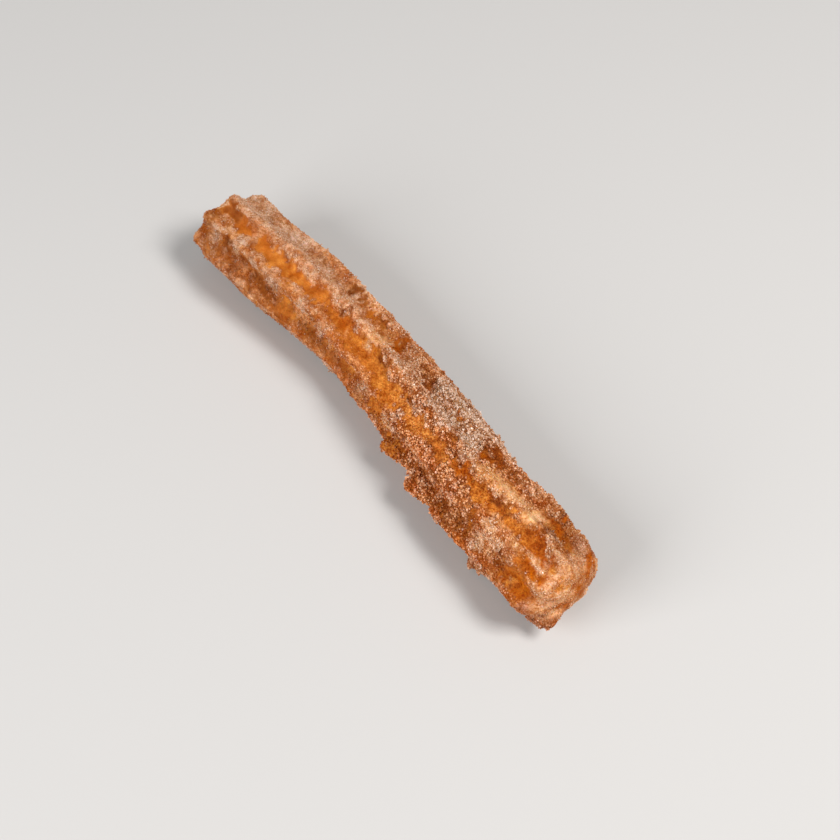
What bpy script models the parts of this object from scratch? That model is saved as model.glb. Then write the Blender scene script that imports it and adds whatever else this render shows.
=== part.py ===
"""A churro: one stick of star-piped dough, fried and lying flat on its lowest ridge.

+X is the end where the dough was pinched off and left a small tail, -X the end that was cut square.
Lengths are in metres, angles in degrees. Angles round the stick are measured from straight up (+Z)
towards +Y.
"""

import math

import bmesh
import bpy
from mathutils import Vector, noise

# --- Driving dimensions ---------------------------------------------------------------------
LENGTH = 0.186
RIDGES = 8
RIDGE_HEIGHT = 0.0031  # from the floor of a groove to the crest beside it
CREST_SHARPNESS = 1.35  # above 1 the ridges are narrower than the grooves
FIRST_RIDGE = 0.7  # angle of the ridge on top, before the wander
FLAT_DEPTH = 0.0015  # how much of the lowest ridge is pressed flat

# Smooth curves along the stick, through (share of the half length, value) stations. Share -1 is
# the cut end and 1 the pinched end.
GIRTH = ((-1.0, 0.0156), (-0.62, 0.0156), (-0.20, 0.0146), (0.28, 0.0156), (0.80, 0.0164), (1.0, 0.0164))
SIDE_BOW = (
    (-1.0, -0.0008),
    (-0.86, -0.0008),
    (-0.62, 0.0024),
    (-0.25, 0.0058),
    (0.15, 0.0040),
    (0.55, 0.0008),
    (1.0, -0.0002),
)
WANDER = ((-1.0, 3.0), (-0.74, 9.0), (-0.20, -2.0), (0.30, -7.0), (0.66, 4.0), (1.0, 1.0))

# End caps: how long each is, and how blunt, where 1 is a dome and a small number a flat cut.
CUT_CAP, CUT_BLUNTNESS = 0.0035, 0.35
PINCHED_CAP, PINCHED_BLUNTNESS = 0.0110, 0.52
CUT_SLANT = 0.0026  # the cut leans back by this much across the stick

# The tail where the dough was pulled off: its angle, length, and half width round the stick.
TAIL_ANGLE, TAIL_LENGTH, TAIL_SPREAD = -122.0, 0.0036, 13.0

# Torn fins on the ridges: ridge number, where the tear starts, its height, and how far it runs on.
TEARS = (
    (6, 0.0125, 0.0030, 0.011),
    (6, 0.0285, 0.0032, 0.012),
    (6, 0.0410, 0.0016, 0.014),
    (5, 0.0410, 0.0018, 0.012),
    (5, 0.0590, 0.0026, 0.009),
    (6, -0.0400, 0.0009, 0.012),
    (1, 0.0120, 0.0010, 0.010),
    (2, 0.0560, 0.0012, 0.016),
    (3, 0.0060, 0.0018, 0.013),
    (3, -0.0520, 0.0015, 0.012),
)
TEAR_EDGE = 0.0022  # a fin rises over this short length

# Mesh: columns round the stick, and rings along its body and each cap.
COLUMNS_PER_RIDGE = 6
BODY_RINGS = 80
CUT_RINGS = 5
PINCHED_RINGS = 8


def smooth_step(t):
    t = min(max(t, 0.0), 1.0)
    return t * t * (3 - 2 * t)


def slope_at(stations, index):
    """Slope of the smooth curve at one of its stations, taken from the stations beside it."""
    before = stations[max(index - 1, 0)]
    after = stations[min(index + 1, len(stations) - 1)]
    return (after[1] - before[1]) / (after[0] - before[0])


def smooth_curve(stations, x):
    """Value at x of the cubic curve that runs smoothly through the stations."""
    share = min(max(x / (LENGTH / 2), -1.0), 1.0)
    index = sum(share > place for place, _ in stations[1:-1])
    (start, low), (end, high) = stations[index], stations[index + 1]
    span = end - start
    t = (share - start) / span
    rest = 1 - t
    pull_low = low + span * slope_at(stations, index) / 3
    pull_high = high - span * slope_at(stations, index + 1) / 3
    return rest**3 * low + 3 * rest**2 * t * pull_low + 3 * rest * t**2 * pull_high + t**3 * high


def unevenness(x, lane, wavelength):
    """Smooth noise from about -1 to 1 along the stick; each lane has its own pattern."""
    return 2 * noise.noise(Vector((x / wavelength, 7.3 * lane, 1.7)))


def torn_fin(ridge, x):
    """Extra height where a ridge has torn: a quick rise, then a long slope towards +X."""
    height = 0.0
    for torn_ridge, start, fin, run in TEARS:
        if torn_ridge == ridge:
            rise = smooth_step((x - start + TEAR_EDGE) / TEAR_EDGE)
            slope = 1 - smooth_step((x - start) / run)
            height += fin * rise * slope
    return height


def surface_radius(x, column, relief):
    """Distance of the dough's surface from the spine, before an end closes."""
    phase = column / COLUMNS_PER_RIDGE
    ridge = round(phase) % RIDGES
    crest = (0.5 + 0.5 * math.cos(2 * math.pi * phase)) ** CREST_SHARPNESS
    groove = smooth_curve(GIRTH, x) - RIDGE_HEIGHT
    ridge_size = 1 + 0.22 * unevenness(x, ridge, 0.013)
    round_stick = 2 * math.pi * phase / RIDGES
    puff = 0.0008 * noise.noise(Vector((x / 0.020, 1.6 * math.cos(round_stick), 1.6 * math.sin(round_stick))))
    return groove + puff + relief * crest * (RIDGE_HEIGHT * ridge_size + torn_fin(ridge, x))


def surface_angle(x, column):
    """Angle of a column, in radians, with the wander of the ridges round the stick."""
    degrees = FIRST_RIDGE + 360 * column / (RIDGES * COLUMNS_PER_RIDGE) + smooth_curve(WANDER, x)
    return math.radians(degrees + 1.5 * unevenness(x, 23, 0.025))


def station(ring):
    """(x, share of the full radius) of a ring, counted from the pole of the pinched end."""
    half = LENGTH / 2
    if ring <= PINCHED_RINGS:
        turn = math.pi / 2 * ring / PINCHED_RINGS
        return half - PINCHED_CAP * (1 - math.cos(turn)), math.sin(turn) ** PINCHED_BLUNTNESS
    from_cut = PINCHED_RINGS + BODY_RINGS + CUT_RINGS - ring
    if from_cut <= CUT_RINGS:
        turn = math.pi / 2 * from_cut / CUT_RINGS
        return -half + CUT_CAP * (1 - math.cos(turn)), math.sin(turn) ** CUT_BLUNTNESS
    share = (ring - PINCHED_RINGS) / BODY_RINGS
    body_start, body_end = half - PINCHED_CAP, -half + CUT_CAP
    return body_start + (body_end - body_start) * share, 1.0


def tail_pull(x, angle, closing):
    """How far the tail draws the surface out along +X: most at the rim of the pinched end."""
    off = math.degrees(angle) - TAIL_ANGLE
    off = (off + 180) % 360 - 180
    round_stick = math.exp(-((off / TAIL_SPREAD) ** 2))
    along = smooth_step((x - (LENGTH / 2 - PINCHED_CAP)) / (0.6 * PINCHED_CAP))
    return TAIL_LENGTH * round_stick * along * smooth_step(closing / 0.8)


def surface_point(ring, column):
    x, closing = station(ring)
    angle = surface_angle(x, column)
    side, up = math.sin(angle), math.cos(angle)
    pull = tail_pull(x, angle, closing)
    lean = CUT_SLANT * side * smooth_step(-x / (LENGTH / 2) * 4 - 3) * closing
    radius = closing * surface_radius(x, column, relief=closing) + 0.3 * pull
    spine_height = smooth_curve(GIRTH, x) - FLAT_DEPTH
    return Vector(
        (
            x + pull + lean,
            smooth_curve(SIDE_BOW, x) + side * radius,
            max(spine_height + up * radius, 0.0),
        )
    )


def piped_stick(name):
    """A UV sphere, pole to pole along the stick, with every vertex moved to the dough's surface."""
    columns = RIDGES * COLUMNS_PER_RIDGE
    rings = PINCHED_RINGS + BODY_RINGS + CUT_RINGS
    mesh = bpy.data.meshes.new(name)
    shape = bmesh.new()
    bmesh.ops.create_uvsphere(shape, u_segments=columns, v_segments=rings, radius=1.0)
    for vertex in shape.verts:
        ring = round(math.acos(min(max(vertex.co.z, -1.0), 1.0)) / math.pi * rings)
        column = round(math.atan2(vertex.co.y, vertex.co.x) / (2 * math.pi) * columns) % columns
        vertex.co = surface_point(ring, column)
    bmesh.ops.recalc_face_normals(shape, faces=shape.faces)
    shape.to_mesh(mesh)
    shape.free()
    return mesh


def centre_on_origin(mesh):
    """Moves the mesh so that the middle of its underside's box is the origin."""
    xs = [vertex.co.x for vertex in mesh.vertices]
    ys = [vertex.co.y for vertex in mesh.vertices]
    middle = Vector(((min(xs) + max(xs)) / 2, (min(ys) + max(ys)) / 2, 0.0))
    for vertex in mesh.vertices:
        vertex.co -= middle


def fried_dough():
    material = bpy.data.materials.new("fried_dough")
    material.use_nodes = True
    shader = material.node_tree.nodes["Principled BSDF"]
    shader.inputs["Base Color"].default_value = (0.52, 0.20, 0.055, 1.0)
    shader.inputs["Roughness"].default_value = 0.6
    shader.inputs["Metallic"].default_value = 0.0
    return material


def main():
    for old in list(bpy.data.objects):
        bpy.data.objects.remove(old)
    parts = bpy.data.collections.new("churro_parts")
    bpy.context.scene.collection.children.link(parts)

    mesh = piped_stick("churro")
    centre_on_origin(mesh)
    mesh.materials.append(fried_dough())
    mesh.shade_smooth()
    parts.objects.link(bpy.data.objects.new("churro", mesh))


main()
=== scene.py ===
import math

import bpy
import numpy as np
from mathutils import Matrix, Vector, noise


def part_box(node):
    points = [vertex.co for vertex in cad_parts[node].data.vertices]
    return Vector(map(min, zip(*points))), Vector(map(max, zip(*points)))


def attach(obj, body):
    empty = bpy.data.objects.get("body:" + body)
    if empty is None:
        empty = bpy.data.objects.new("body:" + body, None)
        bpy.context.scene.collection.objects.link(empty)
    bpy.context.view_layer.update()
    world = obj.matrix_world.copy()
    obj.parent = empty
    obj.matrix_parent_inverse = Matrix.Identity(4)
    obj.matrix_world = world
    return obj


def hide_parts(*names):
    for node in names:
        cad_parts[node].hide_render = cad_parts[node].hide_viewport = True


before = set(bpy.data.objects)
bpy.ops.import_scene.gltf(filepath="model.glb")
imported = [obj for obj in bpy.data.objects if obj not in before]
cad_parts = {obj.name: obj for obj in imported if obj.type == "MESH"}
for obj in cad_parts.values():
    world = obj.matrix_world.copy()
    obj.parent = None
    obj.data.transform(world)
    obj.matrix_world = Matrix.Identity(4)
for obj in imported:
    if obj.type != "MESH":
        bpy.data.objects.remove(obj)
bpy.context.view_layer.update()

# --- The fried dough ------------------------------------------------------------------------
# One stick of choux-like dough, pushed through a star nozzle into hot oil: eight ridges with
# grooves between them. One end was cut square, the other pinched off with a small tail. The
# dough puffed as it fried, which bowed the stick and tore the ridges into ragged fins.
LENGTH = 0.186
RIDGES = 8
RIDGE_HEIGHT = 0.0031
CREST_SHARPNESS = 1.35
FIRST_RIDGE = 0.7
FLAT_DEPTH = 0.0015
COAT_DEPTH = 0.00035  # the sugar lies in this much of the outer shape
BOX_MARGIN = 0.0002  # the skin keeps this far inside the solid's box
POLE_STEP = 0.00005  # the middle of each end stands this far out
MIDDLE_RADIUS = 0.014
RIDGE_WAVER, RIDGE_WAVER_LENGTH = 0.22, 0.013
TWIST_WAVER, TWIST_WAVER_LENGTH = 1.5, 0.025
PUFF_HEIGHT, PUFF_LENGTH = 0.0004, 0.020

# Each curve along the stick is (share of the half length, value), from the cut end at -1 to the
# pinched end at 1.
GIRTH = ((-1.0, 0.0156), (-0.62, 0.0156), (-0.20, 0.0146), (0.28, 0.0156), (0.80, 0.0164), (1.0, 0.0164))
SIDE_BOW = (
    (-1.0, -0.0008),
    (-0.86, -0.0008),
    (-0.62, 0.0024),
    (-0.25, 0.0058),
    (0.15, 0.0040),
    (0.55, 0.0008),
    (1.0, -0.0002),
)
WANDER = ((-1.0, 3.0), (-0.74, 9.0), (-0.20, -2.0), (0.30, -7.0), (0.66, 4.0), (1.0, 1.0))
CUT_CAP, CUT_BLUNTNESS = 0.0035, 0.35
PINCHED_CAP, PINCHED_BLUNTNESS = 0.0110, 0.52
CUT_SLANT = 0.0026
TAIL_ANGLE, TAIL_LENGTH, TAIL_SPREAD = -122.0, 0.0036, 13.0
# Each tear is (ridge, where it starts along X, height of the torn fin, length over which it sinks).
TEARS = (
    (6, 0.0125, 0.0030, 0.011),
    (6, 0.0285, 0.0032, 0.012),
    (6, 0.0410, 0.0016, 0.014),
    (5, 0.0410, 0.0018, 0.012),
    (5, 0.0590, 0.0026, 0.009),
    (6, -0.0400, 0.0009, 0.012),
    (1, 0.0120, 0.0010, 0.010),
    (2, 0.0560, 0.0012, 0.016),
    (3, 0.0060, 0.0018, 0.013),
    (3, -0.0520, 0.0015, 0.012),
)
TEAR_EDGE = 0.0016  # a fin rises over this short length
FULL_TEAR = 0.003  # a fin this high counts as fully torn

COLUMNS_PER_RIDGE = 25
BODY_RINGS = 424
CUT_RINGS = 20
PINCHED_RINGS = 34

COLUMNS = RIDGES * COLUMNS_PER_RIDGE
RINGS = PINCHED_RINGS + BODY_RINGS + CUT_RINGS


def smooth_step(t):
    t = np.clip(t, 0.0, 1.0)
    return t * t * (3 - 2 * t)


def smooth_curve(stations, x):
    """Values at x of the cubic curve that runs smoothly through (share of half length, value) stations."""
    places, values = np.array(stations).T
    slopes = np.empty(len(places))
    slopes[1:-1] = (values[2:] - values[:-2]) / (places[2:] - places[:-2])
    slopes[0] = (values[1] - values[0]) / (places[1] - places[0])
    slopes[-1] = (values[-1] - values[-2]) / (places[-1] - places[-2])
    share = np.clip(x / (LENGTH / 2), -1.0, 1.0)
    index = np.clip(np.searchsorted(places, share) - 1, 0, len(places) - 2)
    span = places[index + 1] - places[index]
    low, high = values[index], values[index + 1]
    t = (share - places[index]) / span
    rest = 1 - t
    pull_low = low + span * slopes[index] / 3
    pull_high = high - span * slopes[index + 1] / 3
    return rest**3 * low + 3 * rest**2 * t * pull_low + 3 * rest * t**2 * pull_high + t**3 * high


def noise_at(points, size, seed=0.0):
    """Smooth noise from about -1 to 1 at points (n, 3), with lumps of that size in metres."""
    scaled = (points / size + seed).tolist()
    return np.array([noise.noise(p) for p in scaled]) * 2


def bumps_at(points, size, seed=0.0):
    """Rounded bumps, 0 between them and 1 at their tops, about that far apart in metres."""
    scaled = (points / size + seed).tolist()
    nearest = np.array([noise.voronoi(p)[0][0] for p in scaled])
    return np.clip(1 - nearest / 0.62, 0, 1)


def lane_noise(x, lane, wavelength):
    """Smooth noise from about -1 to 1 along the stick, different for each lane."""
    return 2 * np.array([noise.noise((a / wavelength, 7.3 * lane, 1.7)) for a in x])


# Rings run from the pole of the pinched end to the pole of the cut end.
ring = np.arange(1, RINGS)
half = LENGTH / 2
from_cut = RINGS - ring
pinched_turn = math.pi / 2 * np.minimum(ring / PINCHED_RINGS, 1)
cut_turn = math.pi / 2 * np.minimum(from_cut / CUT_RINGS, 1)
body_share = np.clip((ring - PINCHED_RINGS) / BODY_RINGS, 0, 1)
ring_x = half - PINCHED_CAP + (-LENGTH + CUT_CAP + PINCHED_CAP) * body_share
ring_x = ring_x + PINCHED_CAP * np.cos(pinched_turn) - CUT_CAP * np.cos(cut_turn)
ring_closing = np.sin(pinched_turn) ** PINCHED_BLUNTNESS * np.sin(cut_turn) ** CUT_BLUNTNESS

column = np.arange(COLUMNS)
column_phase = column / COLUMNS_PER_RIDGE
column_crest = (0.5 + 0.5 * np.cos(2 * np.pi * column_phase)) ** CREST_SHARPNESS
column_ridge = np.round(column_phase).astype(int) % RIDGES

X = np.repeat(ring_x[:, None], COLUMNS, axis=1)
CLOSING = np.repeat(ring_closing[:, None], COLUMNS, axis=1)
PHASE = np.repeat(column_phase[None, :], len(ring), axis=0)
CREST = np.repeat(column_crest[None, :], len(ring), axis=0)

twist_waver = TWIST_WAVER * lane_noise(ring_x, 23, TWIST_WAVER_LENGTH)
turned = FIRST_RIDGE + smooth_curve(WANDER, ring_x) + twist_waver
ANGLE = np.radians(turned[:, None] + 360 * column_phase[None, :] / RIDGES)
SIDE, UP = np.sin(ANGLE), np.cos(ANGLE)

# The height of each ridge wavers, and its torn fins start along a ragged line.
ridge_wavers = [RIDGE_WAVER * lane_noise(ring_x, ridge, RIDGE_WAVER_LENGTH) for ridge in range(RIDGES)]
ridge_size = 1 + np.stack(ridge_wavers, axis=1)
height = RIDGE_HEIGHT * ridge_size[:, column_ridge]
stick_points = np.stack([X, MIDDLE_RADIUS * np.cos(ANGLE), MIDDLE_RADIUS * np.sin(ANGLE)], axis=-1)
stick_points = stick_points.reshape(-1, 3)
ragged = 0.0007 * noise_at(stick_points, 0.0016, 5.0) + 0.0008 * noise_at(stick_points, 0.004, 9.0)
ragged = ragged.reshape(X.shape)
torn = np.zeros_like(X)
for torn_ridge, start, fin, run in TEARS:
    ahead = X + ragged - start
    rise = smooth_step((ahead + TEAR_EDGE) / TEAR_EDGE)
    slope = 1 - smooth_step(ahead / run)
    fin_here = fin * rise * slope * (column_ridge == torn_ridge)[None, :]
    height = height + fin_here
    torn = np.maximum(torn, fin_here / FULL_TEAR)
round_stick = 2 * np.pi * PHASE / RIDGES
puff_points = np.stack([X / PUFF_LENGTH, 1.6 * np.cos(round_stick), 1.6 * np.sin(round_stick)], axis=-1)
puff = PUFF_HEIGHT * noise_at(puff_points.reshape(-1, 3), 1.0).reshape(X.shape)
groove = smooth_curve(GIRTH, X) - RIDGE_HEIGHT

off_tail = (np.degrees(ANGLE) - TAIL_ANGLE + 180) % 360 - 180
tail = TAIL_LENGTH * np.exp(-((off_tail / TAIL_SPREAD) ** 2))
tail = tail * smooth_step((X - (half - PINCHED_CAP)) / (0.6 * PINCHED_CAP)) * smooth_step(CLOSING / 0.8)
lean = CUT_SLANT * SIDE * smooth_step(-X / half * 4 - 3) * CLOSING
radius = CLOSING * (groove + puff + CLOSING * CREST * height) + 0.3 * tail
spine_height = smooth_curve(GIRTH, X) - FLAT_DEPTH
shape_x = X + tail + lean
shape_y = smooth_curve(SIDE_BOW, X) + SIDE * radius
shape_z = np.maximum(spine_height + UP * radius, 0.0)
shape = np.stack([shape_x, shape_y, shape_z], axis=-1)

# The stick lies where its solid does.
low, high = (np.array(corner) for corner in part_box("churro"))
shape[..., :2] += ((low + high) / 2 - (shape.min(axis=(0, 1)) + shape.max(axis=(0, 1))) / 2)[:2]
pinched_pole = np.array([shape[0, :, 0].max() + POLE_STEP, shape[0, :, 1].mean(), shape[0, :, 2].mean()])
cut_pole = np.array([shape[-1, :, 0].min() - POLE_STEP, shape[-1, :, 1].mean(), shape[-1, :, 2].mean()])

along = np.gradient(shape, axis=0)
round_way = np.roll(shape, -1, axis=1) - np.roll(shape, 1, axis=1)
normal = np.cross(round_way, along)
normal /= np.linalg.norm(normal, axis=-1, keepdims=True) + 1e-12

# How the surface differs from place to place. Each patch is (x, place round the stick in ridges,
# half length, half width in ridges, strength). Ridge 0 is on top, ridge 1 is next towards +Y.
BARE_PATCHES = (
    # the long groove where hardly any sugar stuck
    (-0.0860, -0.38, 0.0035, 0.16, 0.60),
    (-0.0790, -0.38, 0.0038, 0.18, 0.65),
    (-0.0765, -0.56, 0.0016, 0.18, 0.80),
    (-0.0680, -0.58, 0.0046, 0.20, 0.80),
    (-0.0660, -0.34, 0.0020, 0.12, 0.90),
    (-0.0570, -0.58, 0.0080, 0.20, 0.90),
    (-0.0450, -0.58, 0.0080, 0.22, 0.95),
    (-0.0400, -0.40, 0.0050, 0.16, 0.90),
    (-0.0270, -0.58, 0.0080, 0.24, 1.00),
    (-0.0270, -0.36, 0.0020, 0.14, 1.00),
    (-0.0140, -0.58, 0.0090, 0.26, 1.00),
    (-0.0100, -0.36, 0.0026, 0.12, 0.90),
    (-0.0020, -0.68, 0.0080, 0.27, 1.00),
    (0.0060, -0.66, 0.0065, 0.42, 1.00),
    (0.0180, -0.56, 0.0095, 0.22, 1.00),
    (0.0300, -0.50, 0.0070, 0.20, 0.80),
    (0.0420, -0.47, 0.0080, 0.20, 0.90),
    (0.0540, -0.44, 0.0090, 0.27, 0.90),
    (0.0680, -0.37, 0.0100, 0.22, 1.00),
    (0.0790, -0.32, 0.0060, 0.18, 0.90),
    # smaller bare places
    (-0.0600, 1.50, 0.0200, 0.20, 0.70),
    (-0.0500, 5.50, 0.0200, 0.24, 0.70),
    (-0.0480, -1.62, 0.0040, 0.24, 0.45),
    (-0.0300, 3.50, 0.0300, 0.24, 0.90),
    (-0.0260, 0.55, 0.0060, 0.18, 0.60),
    (-0.0220, -1.55, 0.0090, 0.30, 0.42),
    (-0.0135, 0.20, 0.0044, 0.26, 0.50),
    (-0.0085, 0.58, 0.0028, 0.22, 0.80),
    (0.0010, -1.50, 0.0050, 0.36, 0.80),
    (0.0130, -1.80, 0.0080, 0.16, 0.60),
    (0.0200, 4.60, 0.0400, 0.22, 0.70),
    (0.0245, 0.67, 0.0020, 0.08, 0.60),
    (0.0425, 0.55, 0.0040, 0.30, 0.80),
    (0.0450, 2.50, 0.0250, 0.24, 0.90),
    (0.0550, 0.28, 0.0080, 0.32, 0.80),
    (0.0560, -1.15, 0.0024, 0.30, 0.50),
    (0.0690, 0.24, 0.0045, 0.42, 1.00),
    (0.0745, -0.28, 0.0050, 0.14, 1.00),
    (0.0760, 0.60, 0.0080, 0.15, 0.80),
    (0.0790, -1.42, 0.0065, 0.42, 0.90),
    (0.0800, -0.84, 0.0055, 0.18, 0.90),
)
DEEP_ORANGE_PATCHES = (
    (-0.0860, -0.38, 0.0035, 0.15, 0.90),
    (-0.0790, -0.36, 0.0045, 0.22, 0.80),
    (-0.0670, -0.45, 0.0050, 0.16, 0.50),
    (-0.0530, -0.50, 0.0022, 0.14, 0.90),
    (-0.0440, -0.42, 0.0040, 0.16, 0.30),
    (-0.0430, -0.36, 0.0030, 0.14, 0.50),
    (-0.0350, -0.52, 0.0026, 0.18, 0.30),
    (-0.0300, 3.50, 0.0120, 0.16, 0.80),
    (-0.0290, -0.56, 0.0026, 0.18, 0.80),
    (-0.0268, -0.34, 0.0016, 0.12, 0.70),
    (-0.0260, 0.55, 0.0060, 0.16, 0.30),
    (-0.0145, -0.58, 0.0024, 0.10, 0.50),
    (-0.0105, -0.40, 0.0026, 0.12, 0.20),
    (-0.0085, 0.60, 0.0028, 0.18, 1.00),
    (0.0300, -0.46, 0.0060, 0.12, 0.30),
    (0.0300, 4.60, 0.0100, 0.16, 0.80),
    (0.0425, 0.55, 0.0040, 0.32, 1.00),
    (0.0430, -0.45, 0.0060, 0.15, 1.00),
    (0.0450, 2.50, 0.0100, 0.16, 0.80),
    (0.0540, -0.30, 0.0050, 0.10, 0.15),
    (0.0585, -0.21, 0.0036, 0.10, 0.80),
    (0.0630, -0.42, 0.0030, 0.10, 0.30),
    (0.0650, 0.66, 0.0034, 0.10, 1.00),
    (0.0760, -0.26, 0.0050, 0.15, 1.00),
    (0.0760, 0.62, 0.0070, 0.13, 1.00),
    (0.0790, -1.60, 0.0060, 0.15, 1.00),
    (0.0790, -1.30, 0.0050, 0.30, 0.40),
    (0.0800, -0.32, 0.0048, 0.15, 1.00),
    (0.0810, -0.82, 0.0050, 0.15, 0.90),
)
GOLDEN_PATCHES = (
    (-0.0570, -0.58, 0.0050, 0.16, 0.60),
    (-0.0350, -0.52, 0.0030, 0.10, 0.50),
    (-0.0165, -0.44, 0.0024, 0.12, 0.80),
    (-0.0155, -0.20, 0.0030, 0.10, 0.80),
    (-0.0100, -0.36, 0.0026, 0.12, 0.90),
    (-0.0030, -0.70, 0.0060, 0.15, 0.80),
    (0.0030, -0.95, 0.0040, 0.14, 0.60),
    (0.0060, -0.48, 0.0040, 0.20, 0.90),
    (0.0160, -0.60, 0.0080, 0.15, 0.70),
    (0.0280, -0.42, 0.0050, 0.10, 0.40),
    (0.0510, -0.46, 0.0040, 0.12, 0.50),
    (0.0660, -0.46, 0.0040, 0.10, 0.80),
    (0.0690, -0.33, 0.0052, 0.17, 1.00),
    (0.0845, -0.78, 0.0016, 0.12, 1.00),
    (0.0905, -0.48, 0.0012, 0.25, 1.00),
)
HEAVY_SUGAR = (
    (-0.0460, 2.20, 0.0180, 0.40, 0.70),
    (-0.0300, 4.90, 0.0200, 0.40, 0.60),
    (-0.0220, 0.02, 0.0022, 0.10, 0.20),
    (-0.0035, 0.06, 0.0045, 0.15, 0.80),
    (0.0078, -1.58, 0.0024, 0.16, 1.00),
    (0.0115, -0.82, 0.0026, 0.12, 0.50),
    (0.0130, 0.72, 0.0034, 0.18, 1.00),
    (0.0165, 0.30, 0.0050, 0.36, 0.80),
    (0.0200, 0.95, 0.0100, 0.20, 1.00),
    (0.0240, 0.35, 0.0060, 0.42, 1.00),
    # partly real heavy sugar, partly a painted highlight for the pale right rim lit from behind
    (0.0280, 1.15, 0.0170, 0.34, 1.00),
    (0.0300, 1.45, 0.0140, 0.40, 0.80),
    (0.0300, 3.00, 0.0160, 0.40, 0.80),
    (0.0320, 0.95, 0.0080, 0.22, 0.90),
    (0.0345, 0.45, 0.0048, 0.38, 1.00),
    (0.0395, 0.08, 0.0050, 0.15, 0.50),
    (0.0622, -1.50, 0.0028, 0.24, 0.80),
    (0.0635, -0.88, 0.0028, 0.16, 0.70),
    (0.0660, -1.05, 0.0032, 0.24, 0.50),
)
THIN_SUGAR = (
    (-0.0840, 0.45, 0.0130, 0.80, 1.00),
    (-0.0835, -1.25, 0.0024, 0.48, 0.90),
    (-0.0830, -1.80, 0.0070, 0.26, 0.30),
    (-0.0740, -1.10, 0.0024, 0.38, 0.90),
    (-0.0740, -0.45, 0.0016, 0.30, 0.35),
    (-0.0660, 0.36, 0.0140, 0.60, 0.90),
    (-0.0655, -1.15, 0.0024, 0.28, 0.90),
    (-0.0600, 4.50, 0.0200, 0.60, 0.60),
    (-0.0585, -0.25, 0.0056, 0.09, 0.80),
    (-0.0560, -1.22, 0.0045, 0.36, 0.70),
    (-0.0510, -0.28, 0.0040, 0.10, 0.80),
    (-0.0500, 1.30, 0.0400, 0.36, 0.60),
    (-0.0480, 0.28, 0.0120, 0.52, 0.90),
    (-0.0410, -1.03, 0.0032, 0.30, 1.00),
    (-0.0340, 0.16, 0.0090, 0.40, 0.90),
    (-0.0260, -1.60, 0.0080, 0.20, 0.40),
    (-0.0244, -0.64, 0.0020, 0.09, 0.80),
    (-0.0220, 0.10, 0.0050, 0.24, 0.50),
    (-0.0220, 0.86, 0.0200, 0.16, 0.50),
    (-0.0215, -0.22, 0.0022, 0.10, 0.90),
    (-0.0136, -0.07, 0.0034, 0.14, 1.00),
    (-0.0100, 0.20, 0.0060, 0.24, 0.50),
    (-0.0092, -1.58, 0.0022, 0.13, 0.90),
    (-0.0020, 0.42, 0.0070, 0.45, 0.60),
    (0.0040, 0.26, 0.0060, 0.36, 0.70),
    (0.0100, 3.90, 0.0400, 0.60, 0.60),
    (0.0150, -0.33, 0.0070, 0.11, 1.00),
    (0.0180, -0.56, 0.0140, 0.16, 0.35),
    (0.0225, -1.12, 0.0024, 0.22, 0.50),
    (0.0340, 1.80, 0.0300, 0.50, 0.60),
    (0.0420, -0.14, 0.0042, 0.14, 1.00),
    (0.0500, 0.95, 0.0260, 0.14, 0.40),
    (0.0570, -0.03, 0.0030, 0.10, 1.00),
    (0.0600, 4.60, 0.0200, 0.80, 0.60),
    (0.0720, -1.20, 0.0040, 0.40, 0.40),
    (0.0790, 0.12, 0.0030, 0.26, 0.10),
    (0.0830, -0.60, 0.0070, 0.09, 0.90),
    (0.0830, -0.08, 0.0040, 0.12, 1.00),
)
SUGAR_LUMPS = (
    (-0.0840, -1.35, 0.0028, 0.36, 1.00),
    (-0.0740, -0.95, 0.0026, 0.22, 0.80),
    (-0.0700, 5.95, 0.0070, 0.30, 0.80),
    (-0.0660, -1.10, 0.0026, 0.24, 0.90),
    (-0.0560, -1.30, 0.0024, 0.28, 0.70),
    (-0.0550, 3.00, 0.0080, 0.30, 0.80),
    (-0.0405, -1.00, 0.0022, 0.20, 0.80),
    (-0.0400, 1.00, 0.0060, 0.26, 0.60),
    (-0.0318, -1.40, 0.0020, 0.22, 1.00),
    (-0.0302, -1.00, 0.0016, 0.18, 1.00),
    (-0.0300, -0.27, 0.0022, 0.10, 0.90),
    (-0.0215, -0.22, 0.0018, 0.10, 0.90),
    (-0.0200, 2.05, 0.0070, 0.30, 0.80),
    (-0.0150, 5.05, 0.0080, 0.32, 0.90),
    (-0.0148, -0.42, 0.0016, 0.11, 1.00),
    (-0.0092, -1.58, 0.0018, 0.12, 1.00),
    (0.0000, -0.34, 0.0022, 0.11, 1.00),
    (0.0078, -1.58, 0.0024, 0.16, 1.00),
    (0.0090, -1.15, 0.0010, 0.20, 0.70),
    (0.0115, -0.82, 0.0028, 0.12, 1.00),
    (0.0150, -0.33, 0.0060, 0.10, 0.70),
    (0.0150, 3.05, 0.0080, 0.34, 0.90),
    (0.0255, -1.58, 0.0026, 0.14, 1.00),
    (0.0270, -0.84, 0.0040, 0.13, 0.90),
    (0.0305, -1.10, 0.0012, 0.24, 0.90),
    (0.0340, -0.36, 0.0024, 0.12, 0.80),
    (0.0400, -0.78, 0.0045, 0.12, 0.80),
    (0.0400, 2.00, 0.0090, 0.32, 0.90),
    (0.0415, -1.35, 0.0012, 0.22, 0.80),
    (0.0455, -1.12, 0.0016, 0.30, 0.60),
    (0.0500, -0.72, 0.0050, 0.07, 0.70),
    (0.0530, -1.22, 0.0014, 0.26, 0.80),
    (0.0600, 3.95, 0.0070, 0.32, 0.80),
    (0.0625, -1.50, 0.0024, 0.20, 1.00),
    (0.0625, -0.92, 0.0022, 0.20, 1.00),
    (0.0680, -1.05, 0.0022, 0.26, 1.00),
)
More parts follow.
